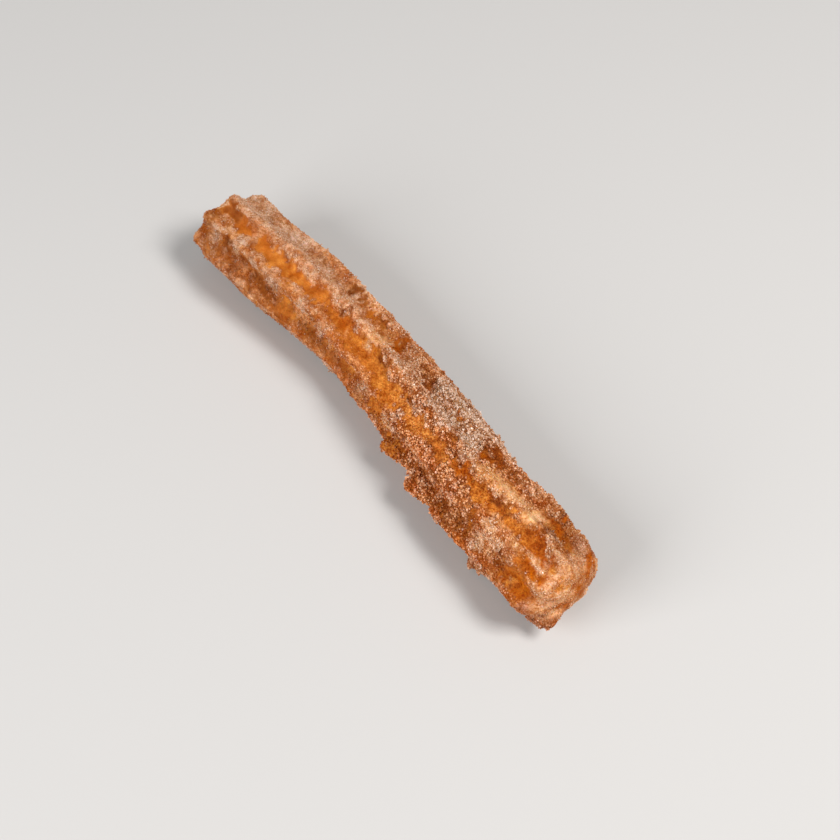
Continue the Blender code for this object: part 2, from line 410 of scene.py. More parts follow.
BROWN_PATCHES = (
    (-0.0885, -0.90, 0.0020, 0.60, 0.50),
    (-0.0860, -0.38, 0.0040, 0.17, 0.90),
    (-0.0830, -1.80, 0.0060, 0.24, 0.40),
    (-0.0800, -0.30, 0.0040, 0.12, 0.30),
    (-0.0776, -1.35, 0.0022, 0.34, 1.00),
    (-0.0720, -1.80, 0.0080, 0.12, 0.50),
    (-0.0695, -1.32, 0.0012, 0.20, 0.40),
    (-0.0622, -1.50, 0.0020, 0.22, 0.90),
    (-0.0600, 2.50, 0.0100, 0.30, 0.70),
    (-0.0580, -1.70, 0.0090, 0.09, 0.80),
    (-0.0525, 0.70, 0.0022, 0.10, 0.40),
    (-0.0520, -1.90, 0.0120, 0.14, 0.45),
    (-0.0350, -1.05, 0.0024, 0.22, 0.50),
    (-0.0350, 0.66, 0.0034, 0.18, 1.00),
    (-0.0340, -1.78, 0.0120, 0.20, 0.35),
    (-0.0300, -0.21, 0.0026, 0.11, 0.90),
    (-0.0205, 0.68, 0.0028, 0.10, 0.60),
    (-0.0200, -2.50, 0.0140, 0.36, 0.60),
    (-0.0160, -1.60, 0.0030, 0.12, 0.40),
    (-0.0110, -1.90, 0.0060, 0.10, 0.50),
    (-0.0080, 0.76, 0.0040, 0.07, 0.60),
    (-0.0070, -0.24, 0.0038, 0.14, 1.00),
    (0.0030, 0.85, 0.0060, 0.09, 0.80),
    (0.0090, 0.62, 0.0026, 0.17, 0.80),
    (0.0100, 3.60, 0.0120, 0.30, 0.70),
    (0.0110, -0.26, 0.0024, 0.10, 0.90),
    (0.0122, -1.20, 0.0022, 0.30, 1.00),
    (0.0180, -1.20, 0.0018, 0.28, 0.90),
    (0.0180, -0.03, 0.0018, 0.11, 0.80),
    (0.0245, 0.67, 0.0020, 0.08, 0.50),
    (0.0310, -0.68, 0.0030, 0.10, 1.00),
    (0.0322, 0.06, 0.0028, 0.18, 1.00),
    (0.0340, -0.50, 0.0160, 0.18, 0.10),
    (0.0360, -1.15, 0.0030, 0.26, 0.70),
    (0.0375, -0.19, 0.0032, 0.09, 1.00),
    (0.0420, 0.70, 0.0036, 0.14, 0.90),
    (0.0500, -1.72, 0.0120, 0.07, 0.50),
    (0.0500, 0.80, 0.0200, 0.045, 0.70),
    (0.0560, -1.18, 0.0022, 0.30, 0.65),
    (0.0590, -0.22, 0.0036, 0.11, 1.00),
    (0.0600, 1.60, 0.0100, 0.30, 0.70),
    (0.0625, -0.43, 0.0020, 0.07, 0.40),
    (0.0702, -1.36, 0.0016, 0.19, 1.00),
    (0.0712, -0.58, 0.0012, 0.07, 0.40),
    (0.0735, 0.28, 0.0016, 0.30, 0.45),
    (0.0760, -0.24, 0.0040, 0.06, 0.40),
    (0.0775, 0.30, 0.0012, 0.30, 0.65),
    (0.0780, 0.77, 0.0120, 0.045, 0.70),
    (0.0785, 0.16, 0.0040, 0.24, 0.30),
    (0.0815, 0.50, 0.0014, 0.24, 0.45),
    (0.0845, 0.38, 0.0009, 0.28, 0.50),
)
PALE_PATCHES = (
    (-0.0400, 3.05, 0.0070, 0.26, 0.70),
    (-0.0155, -0.20, 0.0024, 0.09, 0.90),
    # painted highlight: this small pale patch stands in for a glint of light
    (-0.0148, -0.42, 0.0016, 0.11, 1.00),
    (-0.0140, -0.08, 0.0026, 0.14, 1.00),
    (-0.0135, 0.14, 0.0040, 0.30, 0.90),
    (-0.0125, -0.05, 0.0026, 0.12, 0.60),
    (0.0078, -1.58, 0.0022, 0.16, 0.90),
    (0.0300, 4.50, 0.0100, 0.30, 0.60),
    (0.0490, 0.04, 0.0050, 0.22, 1.00),
    (0.0560, 0.20, 0.0080, 0.32, 1.00),
    (0.0570, -0.03, 0.0032, 0.11, 1.00),
    (0.0620, 0.30, 0.0040, 0.30, 0.80),
    (0.0625, -1.48, 0.0030, 0.26, 0.60),
    (0.0630, -0.90, 0.0032, 0.20, 0.55),
    (0.0630, -0.62, 0.0060, 0.08, 0.70),
    (0.0668, -1.08, 0.0034, 0.28, 0.30),
    (0.0690, 0.24, 0.0038, 0.40, 1.00),
    (0.0720, -0.70, 0.0040, 0.09, 0.80),
    (0.0830, -0.60, 0.0060, 0.10, 0.70),
    (0.0830, -0.08, 0.0026, 0.12, 0.40),
    (0.0870, 0.35, 0.0028, 0.50, 0.60),
)

# On the pinched end a patch is (way to the side, way up, half width, half height, strength), in
# metres along the skin from the tip, as if the end were opened out flat.
END_ORANGE = (
    (-0.0186, 0.0080, 0.0038, 0.0050, 0.85),
    (-0.0150, 0.0056, 0.0018, 0.0020, 0.60),
    (-0.0132, 0.0152, 0.0018, 0.0018, 1.00),
    (-0.0102, 0.0134, 0.0015, 0.0016, 1.00),
    (-0.0080, 0.0148, 0.0011, 0.0014, 0.70),
    (-0.0046, 0.0008, 0.0014, 0.0018, 1.00),
    (-0.0036, 0.0200, 0.0017, 0.0013, 0.90),
    (-0.0022, -0.0016, 0.0012, 0.0030, 0.95),
    (-0.0008, -0.0056, 0.0013, 0.0030, 1.00),
    (0.0010, 0.0064, 0.0014, 0.0020, 0.80),
    (0.0026, 0.0030, 0.0024, 0.0042, 1.00),
    (0.0044, -0.0012, 0.0017, 0.0036, 0.95),
    (0.0050, 0.0084, 0.0013, 0.0014, 0.70),
    (0.0064, 0.0056, 0.0014, 0.0032, 0.90),
    (0.0064, 0.0178, 0.0032, 0.0010, 0.60),
    (0.0082, 0.0086, 0.0016, 0.0022, 1.00),
    (0.0098, 0.0104, 0.0019, 0.0018, 1.00),
    (0.0122, 0.0050, 0.0014, 0.0015, 0.80),
    (0.0148, 0.0050, 0.0025, 0.0023, 1.00),
)
END_GOLDEN = (
    (-0.0068, 0.0078, 0.0009, 0.0009, 0.50),
    (-0.0055, 0.0158, 0.0016, 0.0015, 0.90),
    (-0.0042, 0.0104, 0.0016, 0.0014, 1.00),
    (-0.0016, 0.0086, 0.0012, 0.0010, 0.90),
    (0.0010, 0.0100, 0.0008, 0.0008, 0.50),
    (0.0010, 0.0136, 0.0010, 0.0008, 0.40),
    (0.0036, 0.0076, 0.0011, 0.0007, 0.50),
)
END_RED = (
    (-0.0198, 0.0072, 0.0018, 0.0022, 0.60),
    (-0.0170, 0.0096, 0.0010, 0.0012, 0.40),
    (-0.0160, 0.0000, 0.0032, 0.0028, 1.00),
    (-0.0146, -0.0100, 0.0022, 0.0034, 0.80),
    (-0.0120, -0.0022, 0.0034, 0.0030, 0.75),
    (-0.0110, -0.0074, 0.0030, 0.0030, 0.90),
    (-0.0086, -0.0046, 0.0024, 0.0018, 0.90),
    # painted shade: this broad, weak patch darkens the upper middle of the pinched end
    (-0.0010, 0.0120, 0.0064, 0.0056, 0.32),
    (0.0066, -0.0022, 0.0017, 0.0030, 0.70),
    (0.0080, 0.0000, 0.0036, 0.0032, 0.80),
    (0.0084, 0.0050, 0.0030, 0.0036, 0.60),
    (0.0096, 0.0146, 0.0012, 0.0010, 0.50),
    (0.0118, 0.0040, 0.0024, 0.0026, 0.65),
    (0.0120, 0.0120, 0.0036, 0.0030, 0.75),
    (0.0122, 0.0168, 0.0036, 0.0026, 0.55),
    (0.0196, 0.0038, 0.0034, 0.0040, 0.85),
)
END_PINK = (
    (-0.0168, 0.0014, 0.0016, 0.0018, 1.00),
    (-0.0165, -0.0128, 0.0010, 0.0026, 1.00),
    (-0.0128, 0.0110, 0.0012, 0.0012, 0.50),
    (-0.0104, 0.0174, 0.0010, 0.0022, 0.80),
    # painted light: this broad patch brightens the left part of the pinched end
    (-0.0085, 0.0058, 0.0042, 0.0046, 0.45),
    (-0.0070, 0.0190, 0.0010, 0.0016, 0.80),
    (-0.0060, 0.0120, 0.0010, 0.0014, 0.60),
    (-0.0002, 0.0004, 0.0005, 0.0018, 0.60),
    (0.0014, -0.0048, 0.0008, 0.0030, 1.00),
    # painted light: this patch brightens the pinched end near its top
    (0.0040, 0.0160, 0.0022, 0.0022, 0.70),
    (0.0064, 0.0130, 0.0022, 0.0016, 0.70),
    (0.0068, -0.0040, 0.0014, 0.0022, 0.60),
    (0.0088, 0.0126, 0.0012, 0.0012, 0.80),
    (0.0120, 0.0158, 0.0028, 0.0024, 1.00),
)

# How coarse the coat is along the stick, and how much painted light and shade brighten or darken its two
# sides.
COARSENESS = (
    (-1.00, 0.24), (-0.62, 0.26), (-0.30, 0.46), (-0.05, 0.68), (0.14, 1.00), (0.46, 1.00),
    (0.70, 0.82), (0.90, 0.62), (1.00, 0.42),
)
LEFT_PAINTED_LIGHT = (
    (-1.00, 0.84), (-0.60, 0.90), (-0.25, 1.08), (0.05, 1.18), (0.28, 1.30), (0.52, 1.14),
    (0.68, 1.20), (0.80, 1.06), (1.00, 1.00),
)
RIGHT_PAINTED_LIGHT = (
    (-1.00, 0.98), (-0.60, 1.00), (-0.35, 1.12), (-0.15, 1.08), (0.10, 1.02), (0.30, 1.00),
    (0.50, 1.17), (0.66, 1.17), (0.78, 0.96), (0.90, 0.92), (1.00, 1.00),
)

body_points = shape.reshape(-1, 3)


def field_noise(size, seed):
    """Noise over the skin, with lumps of that size in metres."""
    return noise_at(body_points, size, seed).reshape(X.shape)


# The edge of a patch drifts and frays this far along the stick in metres, and round it in ridges.
DRIFT_METRES, FRAY_METRES = 0.0016, 0.0010
DRIFT_RIDGES, FRAY_RIDGES = 0.12, 0.09
END_DRIFT, END_FRAY = 0.0003, 0.0004
drift_along, drift_round = field_noise(0.0045, 11.0), field_noise(0.0045, 23.0)
fray_along, fray_round = field_noise(0.0016, 31.0), field_noise(0.0016, 37.0)


def covered_by(table, first, second, turns=None):
    """How strongly the patches of a table cover each point, from two coordinates of the skin."""
    covered = np.zeros_like(X)
    for middle, other_middle, half, other_half, strength in table:
        apart = second - other_middle
        if turns:
            apart = (apart + turns / 2) % turns - turns / 2
        reach = ((first - middle) / half) ** 2 + (apart / other_half) ** 2
        covered = np.maximum(covered, strength * np.exp(-(reach**2)))
    return covered


def patches(table, fray=1.0):
    """Patches along and round the stick, with wandering, frayed edges."""
    along_stick = X + fray * (DRIFT_METRES * drift_along + FRAY_METRES * fray_along)
    round_it = PHASE + fray * (DRIFT_RIDGES * drift_round + FRAY_RIDGES * fray_round)
    return covered_by(table, along_stick, round_it, RIDGES)


ring_gaps = np.linalg.norm(np.diff(shape, axis=0), axis=-1).mean(axis=1)
first_gap = np.linalg.norm(shape[0] - pinched_pole, axis=-1).mean()
way = np.cumsum(np.concatenate([[first_gap], ring_gaps]))[:, None]
opened_side = way * np.sin(round_stick) + END_DRIFT * drift_along + END_FRAY * fray_along
opened_up = way * np.cos(round_stick) + END_DRIFT * drift_round + END_FRAY * fray_round


def end_patches(table):
    """Patches on the opened-out pinched end."""
    return covered_by(table, opened_side, opened_up)


# The face of the pinched end starts at this X and takes this length to become full.
FACE_START, FACE_BLEND = 0.0850, 0.0040
NEAR_FACE_START, NEAR_FACE_BLEND = 0.083, 0.001

face = smooth_step((X - FACE_START) / FACE_BLEND)
bare = patches(BARE_PATCHES)
deep = patches(DEEP_ORANGE_PATCHES)
golden = patches(GOLDEN_PATCHES)
heavy = patches(HEAVY_SUGAR)
thin = patches(THIN_SUGAR)
small_lumps = 0.6 * smooth_step((field_noise(0.0036, 91.0) - 0.30) / 0.35)
small_lumps = small_lumps * (1 - bare) * (1 - face) * (1 - patches(PALE_PATCHES))
lumps = np.maximum(patches(SUGAR_LUMPS, 0.8), small_lumps)
brown = patches(BROWN_PATCHES)
pale = np.maximum(patches(PALE_PATCHES, 0.5), 0.75 * face)
end_pink = end_patches(END_PINK)
end_red = np.maximum(end_patches(END_RED), 0.8 * smooth_step(tail / TAIL_LENGTH * 1.6))
face_orange = end_patches(END_ORANGE)
face_orange = np.maximum(face_orange, 0.35 * face * smooth_step((field_noise(0.0026, 71.0) - 0.32) / 0.30))
face_golden = end_patches(END_GOLDEN)

# The relief: blisters on the ridges, a finer skin in the grooves, and knobs where sugar clumped.
BLISTER_SIZE, GRIT_SIZE = 0.0019, 0.0011
BLISTER_HEIGHT, CRUST_HEIGHT, GRIT_HEIGHT = 0.00044, 0.00018, 0.00014
KNOB_HEIGHT, KNOB_GRIT, HEAVY_GRIT = 0.00050, 0.00020, 0.00016
WAVE_HEIGHT, DENT_HEIGHT, BARE_HEIGHT = 0.00012, 0.00010, 0.00003
TORN_HEIGHT, TORN_GRIT = 0.00022, 0.00016
UNDERSIDE_HEIGHT = 0.0012

blisters = bumps_at(body_points, BLISTER_SIZE, 3.0).reshape(X.shape)
grit = bumps_at(body_points, GRIT_SIZE, 8.0).reshape(X.shape)
broad, medium, fine = field_noise(0.0075, 2.0), field_noise(0.0024, 4.0), field_noise(0.0009, 6.0)
coated = 0.66 + 0.16 * CREST + 0.35 * heavy + 0.30 * thin + 0.6 * lumps
coated = coated - 1.20 * bare * (1 - 0.6 * lumps) - 0.85 * brown - 0.45 * face_orange + 0.3 * end_pink
coated = smooth_step((coated + 0.16 * broad + 0.22 * medium + 0.12 * fine - 0.02) / 0.62)
crumbs = smooth_step((blisters - 0.15) / 0.5)
crisp = smooth_curve(COARSENESS, X) * (1 - 0.58 * face) * (1 - 0.35 * pale * (1 - face))
crisp = np.clip(np.maximum(crisp, 0.9 * tail / TAIL_LENGTH), 0, 1)
rough = coated * (1 - 0.35 * thin) * crisp
relief = WAVE_HEIGHT * broad + DENT_HEIGHT * medium
relief += rough * (BLISTER_HEIGHT * (crumbs - 0.55) + CRUST_HEIGHT * medium + GRIT_HEIGHT * grit)
relief += (1 - coated) * BARE_HEIGHT * fine
relief += lumps * (KNOB_HEIGHT * crumbs + KNOB_GRIT * grit) * crisp + heavy * HEAVY_GRIT * grit
relief += torn * (TORN_HEIGHT * medium + TORN_GRIT * fine)
underside = smooth_step(1 - body_points[:, 2].reshape(X.shape) / UNDERSIDE_HEIGHT)
shape = shape + normal * ((relief - COAT_DEPTH) * (1 - underside))[..., None]
limit_low, limit_high = low + BOX_MARGIN, high - BOX_MARGIN
limit_low[2] = 0.0
shape = np.clip(shape, limit_low, limit_high)

vertices = np.concatenate([pinched_pole[None], shape.reshape(-1, 3), cut_pole[None]])
first = 1 + COLUMNS * np.arange(RINGS - 2)[:, None] + column[None, :]
nearby = 1 + COLUMNS * np.arange(RINGS - 2)[:, None] + (column[None, :] + 1) % COLUMNS
sides = np.stack([first, nearby, nearby + COLUMNS, first + COLUMNS], axis=-1).reshape(-1, 4)
last_ring = 1 + COLUMNS * (RINGS - 2)
pinched_fan = [(0, 1 + (c + 1) % COLUMNS, 1 + c) for c in range(COLUMNS)]
cut_fan = [(len(vertices) - 1, last_ring + c, last_ring + (c + 1) % COLUMNS) for c in range(COLUMNS)]
dough_mesh = bpy.data.meshes.new("churro_dough")
dough_mesh.from_pydata(vertices.tolist(), [], sides.tolist() + pinched_fan + cut_fan)
dough_mesh.update()
dough = bpy.data.objects.new("churro_dough", dough_mesh)
bpy.context.scene.collection.objects.link(dough)


def keep_field(name, values):
    """Stores a value for each point of the dough, for its material and for what is scattered on it."""
    field = dough_mesh.attributes.new(name, "FLOAT", "POINT")
    with_poles = np.concatenate([[values[0].mean()], values.reshape(-1), [values[-1].mean()]])
    field.data.foreach_set("value", with_poles)


def keep_tone(tone):
    """Stores the colour of each point."""
    colours = np.ones((len(dough_mesh.vertices), 4))
    colours[1:-1, :3] = tone.reshape(-1, 3)
    colours[0, :3], colours[-1, :3] = tone[0].mean(axis=0), tone[-1].mean(axis=0)
    field = dough_mesh.attributes.new("tone", "FLOAT_COLOR", "POINT")
    field.data.foreach_set("color", np.clip(colours, 0, 1).reshape(-1))


# The colour of the coat from place to place: soaked amber where it is thin or oily, pinkish where
# fine sugar lies on it, and greyish white where it is heaviest.
BARE_ORANGE = (0.535, 0.170, 0.025)
GOLDEN = (0.65, 0.240, 0.040)
DEEP_ORANGE = (0.36, 0.069, 0.001)
SOAKED_AMBER = (0.48, 0.138, 0.026)
SUGARED_TAN = (0.635, 0.277, 0.106)
SUGARED_PINK = (0.61, 0.350, 0.215)
HEAVY_WHITE = (0.58, 0.378, 0.268)
CREAM = (0.78, 0.437, 0.212)
PEACH = (0.71, 0.358, 0.168)
COLD_PINK = (0.70, 0.390, 0.245)
END_BROWN_RED = (0.33, 0.095, 0.032)
END_DEEP_ORANGE = (0.44, 0.096, 0.0005)
END_YELLOW = (0.66, 0.250, 0.040)
FRIED_BROWN = (0.200, 0.048, 0.008)
# painted shade colour for the hollows between blisters and crystals
PAINTED_GAP_SHADE = (0.150, 0.028, 0.001)
CARAMEL = (0.270, 0.050, 0.001)


def blend(tone, colour, weight):
    """The tone moved towards a colour by a weight from 0 to 1."""
    return tone + (np.array(colour) - tone) * np.clip(weight, 0, 1)[..., None]


mottle = field_noise(0.0032, 53.0)
blotch = field_noise(0.0058, 61.0)
tone = np.broadcast_to(np.array(SOAKED_AMBER), X.shape + (3,)).copy()
tone = blend(tone, SUGARED_TAN, 0.45 + 0.20 * SIDE + 0.35 * blotch + 0.35 * mottle)
tone = blend(tone, SUGARED_PINK, 0.90 * thin + 0.15 * mottle)
tone = blend(tone, SUGARED_PINK, 0.70 * lumps * (0.5 + 0.5 * crumbs))
tone = blend(tone, HEAVY_WHITE, 0.95 * heavy)
skin_tone = np.broadcast_to(np.array(BARE_ORANGE), X.shape + (3,)).copy()
skin_tone = blend(skin_tone, GOLDEN, 0.95 * golden + 0.25 * blotch + 0.20 * mottle)
skin_tone = blend(skin_tone, DEEP_ORANGE, 0.25 * mottle - 0.25 * blotch)
skin_tone = blend(skin_tone, SUGARED_TAN, 0.6 * thin)
tone = tone + (skin_tone - tone) * np.clip(1.15 * (1 - coated), 0, 1)[..., None]
tone = blend(tone, DEEP_ORANGE, 0.9 * deep * (1 - 0.6 * heavy))
tone = blend(tone, CREAM, 0.97 * pale * (1 - face))
tone = blend(tone, COLD_PINK, 0.5 * thin * pale * (1 - face))
tone = blend(tone, PEACH, 0.9 * face)
tone = blend(tone, GOLDEN, 0.8 * golden * smooth_step((X - NEAR_FACE_START) / NEAR_FACE_BLEND))
tone = blend(tone, COLD_PINK, 0.85 * end_pink)
tone = blend(tone, END_BROWN_RED, 0.85 * end_red)
tone = blend(tone, END_YELLOW, 0.85 * face_golden)
tone = blend(tone, END_DEEP_ORANGE, 0.97 * face_orange)
# Painted shade: where the coat's edge meets bare dough it gets a brown line for the small shadow there.
edge = 4 * coated * (1 - coated)
tone = blend(tone, FRIED_BROWN, 0.90 * brown + 0.20 * torn + 0.22 * edge * (1 - face) * (1 - pale))
caramel = smooth_step((field_noise(0.0017, 83.0) - 0.25) / 0.30) * (1 - coated) * crisp
tone = blend(tone, CARAMEL, 0.45 * caramel)
soft = 1 - crisp
uneven = 1 + (0.07 + 0.10 * soft) * mottle + (0.05 + 0.06 * soft) * medium + 0.08 * soft * blotch
tone = tone * np.stack([uneven, uneven**1.6, uneven**2.4], axis=-1)
# Painted light and shade: along the stick, the two curves brighten or darken the coat on each of its sides.
side = smooth_step(0.5 + 0.9 * SIDE)
light = side * smooth_curve(RIGHT_PAINTED_LIGHT, X) + (1 - side) * smooth_curve(LEFT_PAINTED_LIGHT, X)
tone = tone * (1 + (light - 1) * np.clip(coated + 0.5 * pale, 0, 1))[..., None]

cover = np.maximum(coated * (0.40 + 0.60 * crumbs), 0.85 * heavy * coated) * (1 - 0.9 * underside)
clean = 0.10 + 0.9 * heavy + 0.4 * thin + 0.7 * lumps + 0.2 * pale + 0.4 * face + 0.2 * broad - 1.2 * brown
clean = clean + 0.5 * end_pink + 0.4 * (tail > 0.0005) - 1.2 * face_orange
veil = 0.9 * heavy + 0.35 * thin + 0.5 * lumps + 0.15 * pale + 0.4 * face
veil = veil * (1 - np.maximum(brown, face_orange)) * coated * (1 - underside)
keep_field("cover", np.clip(cover, 0, 1))
keep_field("clean", np.clip(cover * clean, 0, 1))
fin_tips = 0.6 * smooth_step(torn * 1.4) + 0.7 * smooth_step(tail / TAIL_LENGTH * 2)
keep_field("knobs", np.clip((lumps + 0.4 * heavy + fin_tips) * crumbs * (1 - underside), 0, 1))
soaked = np.maximum.reduce([face_orange, face_golden, end_red, brown, 0.6 * deep])
dust = (0.20 + 0.80 * coated) * (1 - 0.5 * np.maximum(face_orange, deep)) * (1 - underside)
keep_field("dust", np.clip(dust, 0, 1))
keep_field("veil", np.clip(veil, 0, 1))
specks = (0.45 + 0.55 * coated) * (1 - underside) * (1 - 0.8 * face) * (1 - 0.6 * pale)
keep_field("specks", np.clip(specks, 0, 1))
keep_field("coated", np.clip(coated, 0, 1))
# Painted shade: the hollows between blisters and crystals are darkened, more where the coat is rough.
painted_hollow_shade = rough * crisp * (1 - crumbs) * (1 - 0.3 * heavy) * (1 - 0.95 * face * (1 - end_red))
keep_field("painted_hollow_shade", np.clip(painted_hollow_shade, 0, 1))
paler = np.clip(0.9 * heavy + 0.7 * thin + 0.6 * lumps + 0.6 * pale, 0, 1)
keep_field("paler", paler * (1 - soaked) - 0.65 * soaked)
keep_field("crisp", crisp)
keep_field("coarse", 0.5 + 0.5 * crisp)
keep_tone(tone)


def add_node(tree, kind, **settings):
    """A new node with its settings."""
    node = tree.nodes.new(kind)
    for name, value in settings.items():
        setattr(node, name, value)
    return node


def set_inputs(node, **values):
    """Puts plain values on a node's sockets; an underscore stands for a space in a socket's name."""
    for name, value in values.items():
        node.inputs[name.replace("_", " ")].default_value = value
    return node


def read_field(tree, name):
    """A value stored on the dough."""
    return add_node(tree, "ShaderNodeAttribute", attribute_name=name).outputs["Fac"]


def number(tree, operation, a, b=None, clamp=False):
    """A Math node on sockets or plain numbers."""
    node = add_node(tree, "ShaderNodeMath", operation=operation, use_clamp=clamp)
    for socket, value in zip(node.inputs, (a, b)):
        if isinstance(value, bpy.types.NodeSocket):
            tree.links.new(value, socket)
        elif value is not None:
            socket.default_value = value
    return node.outputs[0]


def mixed(tree, factor, a, b):
    """A colour mixed from a to b by factor; each may be a socket or a plain colour."""
    node = add_node(tree, "ShaderNodeMix", data_type="RGBA")
    for socket, value in ((node.inputs[0], factor), (node.inputs[6], a), (node.inputs[7], b)):
        if isinstance(value, bpy.types.NodeSocket):
            tree.links.new(value, socket)
        elif isinstance(value, (int, float)):
            socket.default_value = value
        else:
            socket.default_value = (*value, 1.0)
    return node.outputs[2]


def pattern(tree, kind, scale, **settings):
    """A noise or Voronoi texture on Object coordinates."""
    where = add_node(tree, "ShaderNodeTexCoord")
    node = add_node(tree, kind, **settings)
    node.inputs["Scale"].default_value = scale
    tree.links.new(where.outputs["Object"], node.inputs["Vector"])
    return node


def stepped(tree, value, start, end, low=0.0, high=1.0):
    """A value mapped smoothly from start..end to low..high."""
    node = add_node(tree, "ShaderNodeMapRange", interpolation_type="SMOOTHSTEP")
    tree.links.new(value, node.inputs["Value"])
    set_inputs(node, From_Min=start, From_Max=end, To_Min=low, To_Max=high)
    return node.outputs["Result"]


def shader_group(name, inputs, outputs):
    """An empty shader node group with named sockets, and its two ends."""
    group = bpy.data.node_groups.new(name, "ShaderNodeTree")
    for names, way_through in ((inputs, "INPUT"), (outputs, "OUTPUT")):
        for socket, kind in names:
            group.interface.new_socket(name=socket, in_out=way_through, socket_type=kind)
    return group, group.nodes.new("NodeGroupInput").outputs, group.nodes.new("NodeGroupOutput").inputs


def place_group(tree, group, **values):
    """A shader group placed in a material, with its own values."""
    node = tree.nodes.new("ShaderNodeGroup")
    node.node_tree = group
    return set_inputs(node, **values)


def tone_group():
    """The stored colour of the place: oily and saturated where darker, paler where brighter."""
    group, source, sink = shader_group(
        "coat_tone", (("Brightness", "NodeSocketFloat"),), (("Color", "NodeSocketColor"),)
    )
    brightness = source["Brightness"]
    tone = add_node(group, "ShaderNodeAttribute", attribute_name="tone")
    dark = number(group, "MINIMUM", brightness, 1.0)
    light = number(group, "MAXIMUM", brightness, 1.0)
    parts = add_node(group, "ShaderNodeCombineXYZ")
    group.links.new(brightness, parts.inputs[0])
    for socket, darkening, lightening in ((parts.inputs[1], 0.7, 0.4), (parts.inputs[2], 1.8, 0.8)):
        darker = number(group, "POWER", dark, darkening)
        lighter = number(group, "POWER", light, lightening)
        bend = number(group, "MULTIPLY", darker, lighter)
        group.links.new(number(group, "MULTIPLY", brightness, bend), socket)
    scaled = add_node(group, "ShaderNodeVectorMath", operation="MULTIPLY")
    group.links.new(tone.outputs["Color"], scaled.inputs[0])
    group.links.new(parts.outputs[0], scaled.inputs[1])
    group.links.new(scaled.outputs[0], sink["Color"])
    return group


coat_tone = tone_group()


def tone_of(tree, brightness):
    """The colour of the place at a brightness."""
    node = place_group(tree, coat_tone)
    tree.links.new(brightness, node.inputs["Brightness"])
    return node.outputs["Color"]


dough_look = bpy.data.materials.new("fried_dough")
dough_look.use_nodes = True
tree = dough_look.node_tree
skin = tree.nodes["Principled BSDF"]
mottling = pattern(tree, "ShaderNodeTexNoise", 450.0).outputs["Fac"]
freckle = set_inputs(pattern(tree, "ShaderNodeTexNoise", 1400.0), Detail=3.0, Roughness=0.75).outputs["Fac"]
grain = pattern(tree, "ShaderNodeTexVoronoi", 1500.0)
shade_of_grain = add_node(tree, "ShaderNodeSeparateColor")
tree.links.new(grain.outputs["Color"], shade_of_grain.inputs[0])
broad_shade = stepped(tree, mottling, 0.36, 0.64, -0.20, 0.14)
fine_shade = stepped(tree, freckle, 0.34, 0.66, -0.38, 0.32)
skin_shade = number(tree, "ADD", broad_shade, fine_shade)
skin_shade = number(tree, "ADD", number(tree, "MULTIPLY", skin_shade, read_field(tree, "crisp")), 0.97)
own_shade = stepped(tree, shade_of_grain.outputs[0], 0.0, 1.0, 0.72, 1.20)
coat_shade = number(tree, "MULTIPLY", skin_shade, own_shade)
mix_shade = add_node(tree, "ShaderNodeMix", data_type="FLOAT")
tree.links.new(read_field(tree, "coated"), mix_shade.inputs[0])
tree.links.new(skin_shade, mix_shade.inputs[2])
tree.links.new(coat_shade, mix_shade.inputs[3])
colour = tone_of(tree, mix_shade.outputs[0])
caramel_spots = stepped(tree, freckle, 0.62, 0.72, 0.0, 0.60)
caramel_spots = number(tree, "MULTIPLY", caramel_spots, read_field(tree, "crisp"))
colour = mixed(tree, caramel_spots, colour, CARAMEL)
# Painted shade in the hollows between blisters and crystals.
gap_shade = number(tree, "MULTIPLY", read_field(tree, "painted_hollow_shade"), 0.85, clamp=True)
colour = mixed(tree, gap_shade, colour, PAINTED_GAP_SHADE)
tree.links.new(colour, skin.inputs["Base Color"])
tree.links.new(stepped(tree, read_field(tree, "coated"), 0.1, 0.7, 0.5, 0.8), skin.inputs["Roughness"])
skin.inputs["Specular IOR Level"].default_value = 0.03
skin.inputs["Subsurface Weight"].default_value = 0.35
skin.inputs["Subsurface Radius"].default_value = (1.0, 0.35, 0.12)
skin.inputs["Subsurface Scale"].default_value = 0.0010
height_of_skin = number(tree, "SUBTRACT", number(tree, "MULTIPLY", freckle, 0.6), grain.outputs["Distance"])
height_of_skin = number(tree, "MULTIPLY", height_of_skin, read_field(tree, "crisp"))
bump = add_node(tree, "ShaderNodeBump")
set_inputs(bump, Strength=0.7, Distance=0.0003)
tree.links.new(height_of_skin, bump.inputs["Height"])
tree.links.new(bump.outputs["Normal"], skin.inputs["Normal"])

dough_mesh.materials.append(dough_look)
dough_mesh.shade_smooth()
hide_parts("churro")
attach(dough, "root")

# --- The sugar coat -------------------------------------------------------------------------
# The hot stick was rolled in sugar mixed with ground cinnamon. Loose crystals about half a
# millimetre across stuck to the oily ridges, thickest where the dough was wettest, and clumped
# into knobs. Some stayed clean and white, and most took up cinnamon or soaked in oil.
GRAIN_CLEARANCE = 0.00062  # a grain's middle keeps this far inside the solid's box


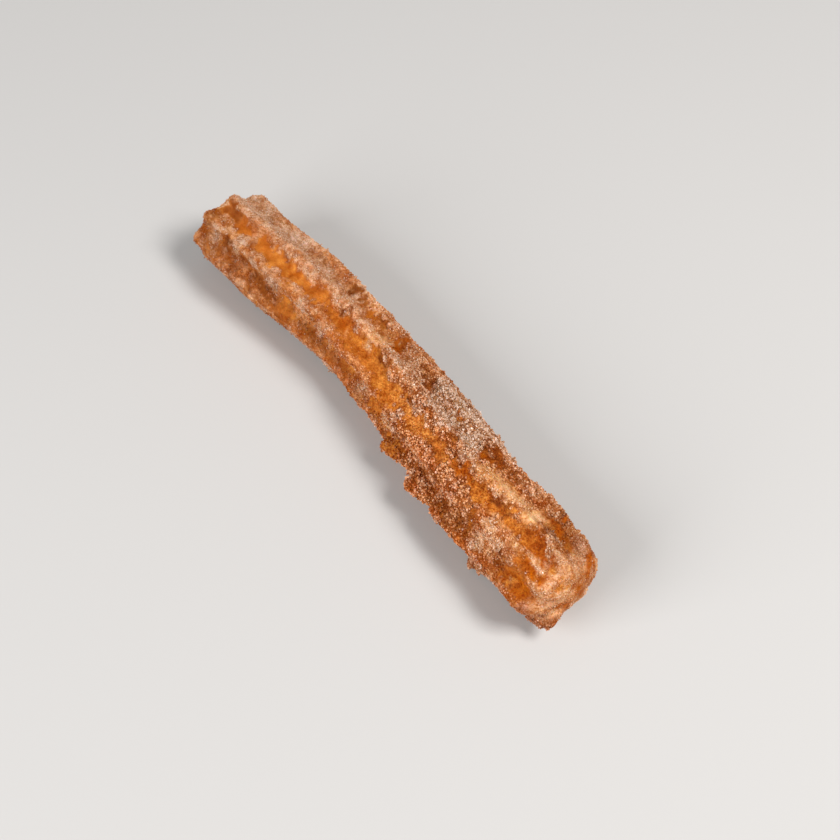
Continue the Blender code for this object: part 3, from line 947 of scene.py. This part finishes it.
def scatter_tree():
    """Geometry Nodes that stick small crystals onto a surface, thick or thin by its stored fields."""
    tree = bpy.data.node_groups.new("stick_crystals_on", "GeometryNodeTree")
    tree.interface.new_socket(name="Geometry", in_out="INPUT", socket_type="NodeSocketGeometry")
    for name, kind in (
        ("Field", "NodeSocketString"),
        ("Grains per square metre", "NodeSocketFloat"),
        ("Gap", "NodeSocketFloat"),
        ("Smallest", "NodeSocketVector"),
        ("Largest", "NodeSocketVector"),
        ("Lift", "NodeSocketFloat"),
        ("Lowest corner", "NodeSocketVector"),
        ("Highest corner", "NodeSocketVector"),
        ("Square crystal", "NodeSocketBool"),
        ("Seed", "NodeSocketInt"),
        ("Look", "NodeSocketMaterial"),
    ):
        tree.interface.new_socket(name=name, in_out="INPUT", socket_type=kind)
    tree.interface.new_socket(name="Geometry", in_out="OUTPUT", socket_type="NodeSocketGeometry")
    source = tree.nodes.new("NodeGroupInput").outputs
    sink = tree.nodes.new("NodeGroupOutput").inputs

    def link(a, b):
        tree.links.new(a, b)

    def random_value(data_type, seed_step):
        node = add_node(tree, "FunctionNodeRandomValue", data_type=data_type)
        seed = number(tree, "ADD", source["Seed"], float(seed_step))
        link(seed, node.inputs["Seed"])
        return node

    field = add_node(tree, "GeometryNodeInputNamedAttribute", data_type="FLOAT")
    link(source["Field"], field.inputs["Name"])
    spread = add_node(tree, "GeometryNodeDistributePointsOnFaces", distribute_method="POISSON")
    link(source["Geometry"], spread.inputs["Mesh"])
    link(source["Gap"], spread.inputs["Distance Min"])
    link(source["Grains per square metre"], spread.inputs["Density Max"])
    link(field.outputs["Attribute"], spread.inputs["Density Factor"])
    link(source["Seed"], spread.inputs["Seed"])

    lift = random_value("FLOAT", 1)
    link(number(tree, "MULTIPLY", source["Lift"], -0.25), lift.inputs[2])
    link(source["Lift"], lift.inputs[3])
    raised = add_node(tree, "ShaderNodeVectorMath", operation="SCALE")
    link(spread.outputs["Normal"], raised.inputs[0])
    link(lift.outputs[1], raised.inputs["Scale"])
    place = add_node(tree, "GeometryNodeInputPosition")
    moved = add_node(tree, "ShaderNodeVectorMath", operation="ADD")
    link(place.outputs[0], moved.inputs[0])
    link(raised.outputs[0], moved.inputs[1])
    held_up = add_node(tree, "ShaderNodeVectorMath", operation="MAXIMUM")
    link(moved.outputs[0], held_up.inputs[0])
    link(source["Lowest corner"], held_up.inputs[1])
    held = add_node(tree, "ShaderNodeVectorMath", operation="MINIMUM")
    link(held_up.outputs[0], held.inputs[0])
    link(source["Highest corner"], held.inputs[1])
    stuck = tree.nodes.new("GeometryNodeSetPosition")
    link(spread.outputs["Points"], stuck.inputs["Geometry"])
    link(held.outputs[0], stuck.inputs["Position"])

    cube = tree.nodes.new("GeometryNodeMeshCube")
    cube.inputs["Size"].default_value = (1, 1, 1)
    chip = tree.nodes.new("GeometryNodeMeshUVSphere")
    set_inputs(chip, Segments=4, Rings=2, Radius=0.62)
    crystal = add_node(tree, "GeometryNodeSwitch", input_type="GEOMETRY")
    link(source["Square crystal"], crystal.inputs["Switch"])
    link(chip.outputs["Mesh"], crystal.inputs["False"])
    link(cube.outputs["Mesh"], crystal.inputs["True"])

    spin = random_value("FLOAT_VECTOR", 2)
    spin.inputs[1].default_value = (math.tau, math.tau, math.tau)
    size = random_value("FLOAT_VECTOR", 3)
    link(source["Smallest"], size.inputs[0])
    link(source["Largest"], size.inputs[1])
    coarse = add_node(tree, "GeometryNodeInputNamedAttribute", data_type="FLOAT")
    coarse.inputs["Name"].default_value = "coarse"
    true_size = add_node(tree, "ShaderNodeVectorMath", operation="SCALE")
    link(size.outputs[0], true_size.inputs[0])
    link(coarse.outputs["Attribute"], true_size.inputs["Scale"])
    grains = tree.nodes.new("GeometryNodeInstanceOnPoints")
    link(stuck.outputs[0], grains.inputs["Points"])
    link(crystal.outputs[0], grains.inputs["Instance"])
    link(spin.outputs[0], grains.inputs["Rotation"])
    link(true_size.outputs[0], grains.inputs["Scale"])
    tint = random_value("FLOAT", 4)
    tinted = add_node(tree, "GeometryNodeStoreNamedAttribute", data_type="FLOAT", domain="INSTANCE")
    tinted.inputs["Name"].default_value = "tint"
    link(grains.outputs[0], tinted.inputs["Geometry"])
    link(tint.outputs[1], tinted.inputs["Value"])
    real = tree.nodes.new("GeometryNodeRealizeInstances")
    link(tinted.outputs[0], real.inputs[0])
    finish = tree.nodes.new("GeometryNodeSetMaterial")
    link(real.outputs[0], finish.inputs["Geometry"])
    link(source["Look"], finish.inputs["Material"])
    link(finish.outputs[0], sink[0])
    return tree


crystals_on = scatter_tree()


def stick_on(name, look, values):
    """Scatters one kind of grain on the dough and makes it a plain mesh that rides with it."""
    carrier = bpy.data.objects.new(name + "_carrier", dough_mesh)
    bpy.context.scene.collection.objects.link(carrier)
    modifier = carrier.modifiers.new("crystals", "NODES")
    modifier.node_group = crystals_on
    settings = {
        **values,
        "Lowest corner": tuple(low + GRAIN_CLEARANCE),
        "Highest corner": tuple(high - GRAIN_CLEARANCE),
        "Look": look,
    }
    for item in crystals_on.interface.items_tree:
        if item.in_out == "INPUT" and item.name in settings:
            modifier[item.identifier] = settings[item.name]
    graph = bpy.context.evaluated_depsgraph_get()
    mesh = bpy.data.meshes.new_from_object(carrier.evaluated_get(graph), depsgraph=graph)
    bpy.data.objects.remove(carrier)
    mesh.name = name
    piece = bpy.data.objects.new(name, mesh)
    bpy.context.scene.collection.objects.link(piece)
    mesh.materials.clear()
    mesh.materials.append(look)
    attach(piece, "root")


CLEAN_SUGAR = (0.70, 0.50, 0.38)


def crystal_group():
    """How bright each crystal is, and how much of its own clear white shows."""
    group, source, sink = shader_group(
        "each_crystal",
        (("Darkest", "NodeSocketFloat"), ("Brightest", "NodeSocketFloat"), ("Clean", "NodeSocketFloat")),
        (("Brightness", "NodeSocketFloat"), ("Clearness", "NodeSocketFloat")),
    )
    own_shade = read_field(group, "tint")
    spread = add_node(group, "ShaderNodeMapRange", interpolation_type="SMOOTHSTEP")
    group.links.new(own_shade, spread.inputs["Value"])
    group.links.new(source["Darkest"], spread.inputs["To Min"])
    group.links.new(source["Brightest"], spread.inputs["To Max"])
    shift = number(group, "SUBTRACT", spread.outputs["Result"], 1.0)
    shift = number(group, "MULTIPLY", shift, read_field(group, "crisp"))
    group.links.new(number(group, "ADD", shift, 1.0), sink["Brightness"])
    paler = number(group, "ADD", number(group, "MULTIPLY", read_field(group, "paler"), 0.6), 0.4)
    clear = number(group, "MULTIPLY", stepped(group, own_shade, 0.40, 1.0), paler)
    group.links.new(number(group, "MULTIPLY", clear, source["Clean"], clamp=True), sink["Clearness"])
    return group


each_crystal = crystal_group()


def crystal_look(name, darkest, brightest, clean, shine):
    """Sugar that takes up the colour below it; each crystal has its own shade and clearness."""
    material = bpy.data.materials.new(name)
    material.use_nodes = True
    tree = material.node_tree
    shader = tree.nodes["Principled BSDF"]
    crystal = place_group(tree, each_crystal, Darkest=darkest, Brightest=brightest, Clean=clean)
    shade = tone_of(tree, crystal.outputs["Brightness"])
    shade = mixed(tree, crystal.outputs["Clearness"], shade, CLEAN_SUGAR)
    tree.links.new(shade, shader.inputs["Base Color"])
    shader.inputs["Roughness"].default_value = 0.25
    shader.inputs["Specular IOR Level"].default_value = shine
    shader.inputs["Subsurface Weight"].default_value = 0.2
    shader.inputs["Subsurface Radius"].default_value = (1.0, 0.6, 0.4)
    shader.inputs["Subsurface Scale"].default_value = 0.0005
    return material


white_look = crystal_look("sugar_crystals", 0.66, 1.28, 0.85, 0.5)
tan_look = crystal_look("cinnamon_sugar", 0.52, 1.38, 0.85, 0.15)
amber_look = crystal_look("soaked_sugar", 0.45, 1.32, 0.45, 0.10)
speck_look = crystal_look("cinnamon_specks", 0.25, 0.60, 0.0, 0.0)


def size_of(small, large):
    """The least and greatest sides of a grain; each grain draws its three sides between them."""
    return {"Smallest": (small, small, small), "Largest": (large, large, large)}


stick_on("sugar_soaked", amber_look, {
    "Field": "cover", "Grains per square metre": 3.6e6, "Gap": 0.00045, "Lift": 0.00012,
    **size_of(0.00034, 0.00070), "Square crystal": False, "Seed": 11,
})
stick_on("sugar_tan", tan_look, {
    "Field": "cover", "Grains per square metre": 3.0e6, "Gap": 0.00054, "Lift": 0.00020,
    **size_of(0.00034, 0.00064), "Square crystal": True, "Seed": 12,
})
stick_on("sugar_white", white_look, {
    "Field": "clean", "Grains per square metre": 3.6e6, "Gap": 0.00048, "Lift": 0.00024,
    **size_of(0.00034, 0.00068), "Square crystal": True, "Seed": 13,
})
stick_on("sugar_knobs", white_look, {
    "Field": "knobs", "Grains per square metre": 4.5e6, "Gap": 0.00042, "Lift": 0.00055,
    **size_of(0.00034, 0.00064), "Square crystal": True, "Seed": 14,
})
stick_on("sugar_veil", white_look, {
    "Field": "veil", "Grains per square metre": 5.0e6, "Gap": 0.00036, "Lift": 0.00014,
    **size_of(0.00022, 0.00044), "Square crystal": False, "Seed": 17,
})
stick_on("sugar_fine", tan_look, {
    "Field": "dust", "Grains per square metre": 1.7e6, "Gap": 0.00042, "Lift": 0.00010,
    **size_of(0.00022, 0.00040), "Square crystal": False, "Seed": 16,
})
stick_on("cinnamon_specks", speck_look, {
    "Field": "specks", "Grains per square metre": 0.4e6, "Gap": 0.0006, "Lift": 0.00020,
    **size_of(0.00020, 0.00042), "Square crystal": False, "Seed": 15,
})

# --- Stage, light and camera ----------------------------------------------------------------
# The churro lies on a plain pale floor, under a soft key light from behind and to the right and a
# fill light from the near side. The camera stands by the pinched end and looks down along the stick.
CAMERA_AZIMUTH, CAMERA_ELEVATION = 52.7, 58.05
CAMERA_DISTANCE = 0.6187
AIM_RIGHT, AIM_DOWN = 0.0079, 0.0092
LENS = 81.0
AIM_HEIGHT = 0.016
FLOOR = 3.0
SKY_STRENGTH = 0.24

azimuth, elevation = math.radians(CAMERA_AZIMUTH), math.radians(CAMERA_ELEVATION)
heading = Vector(
    (
        -math.sin(azimuth) * math.cos(elevation),
        math.cos(azimuth) * math.cos(elevation),
        -math.sin(elevation),
    )
)
right = Vector((math.cos(azimuth), math.sin(azimuth), 0.0))
up = right.cross(heading)
middle = Vector(((low[0] + high[0]) / 2, (low[1] + high[1]) / 2, AIM_HEIGHT))
aim = middle + AIM_RIGHT * right - AIM_DOWN * up
camera_data = bpy.data.cameras.new("camera")
camera_data.lens = LENS
camera_data.clip_start = 0.01
camera = bpy.data.objects.new("camera", camera_data)
camera.location = aim - CAMERA_DISTANCE * heading
camera.rotation_euler = heading.to_track_quat("-Z", "Y").to_euler()
bpy.context.scene.collection.objects.link(camera)
bpy.context.scene.camera = camera

floor_mesh = bpy.data.meshes.new("floor")
floor_corners = [(-FLOOR, -FLOOR, 0), (FLOOR, -FLOOR, 0), (FLOOR, FLOOR, 0), (-FLOOR, FLOOR, 0)]
floor_mesh.from_pydata(floor_corners, [], [(0, 1, 2, 3)])
floor = bpy.data.objects.new("floor", floor_mesh)
floor_look = bpy.data.materials.new("floor")
floor_look.use_nodes = True
floor_surface = floor_look.node_tree.nodes["Principled BSDF"]
floor_surface.inputs["Base Color"].default_value = (0.55, 0.54, 0.53, 1)
floor_surface.inputs["Roughness"].default_value = 0.8
floor_mesh.materials.append(floor_look)
bpy.context.scene.collection.objects.link(floor)


def soft_light(name, place, size, power, tint=(1.0, 1.0, 1.0)):
    """A square soft box that faces the middle of the churro."""
    data = bpy.data.lights.new(name, "AREA")
    data.size = size
    data.energy = power
    data.color = tint
    lamp = bpy.data.objects.new(name, data)
    lamp.location = place
    lamp.rotation_euler = (middle - Vector(place)).to_track_quat("-Z", "Y").to_euler()
    bpy.context.scene.collection.objects.link(lamp)


soft_light("key", (0.55, 0.35, 0.95), 0.4, 12.0, (1.0, 0.98, 0.96))
soft_light("fill", (-0.10, -1.00, 0.60), 0.8, 12.0)
world = bpy.data.worlds.new("world")
world.use_nodes = True
sky = world.node_tree.nodes["Background"]
sky.inputs["Color"].default_value = (1, 1, 1, 1)
sky.inputs["Strength"].default_value = SKY_STRENGTH
bpy.context.scene.world = world
bpy.context.scene.view_settings.view_transform = "Standard"
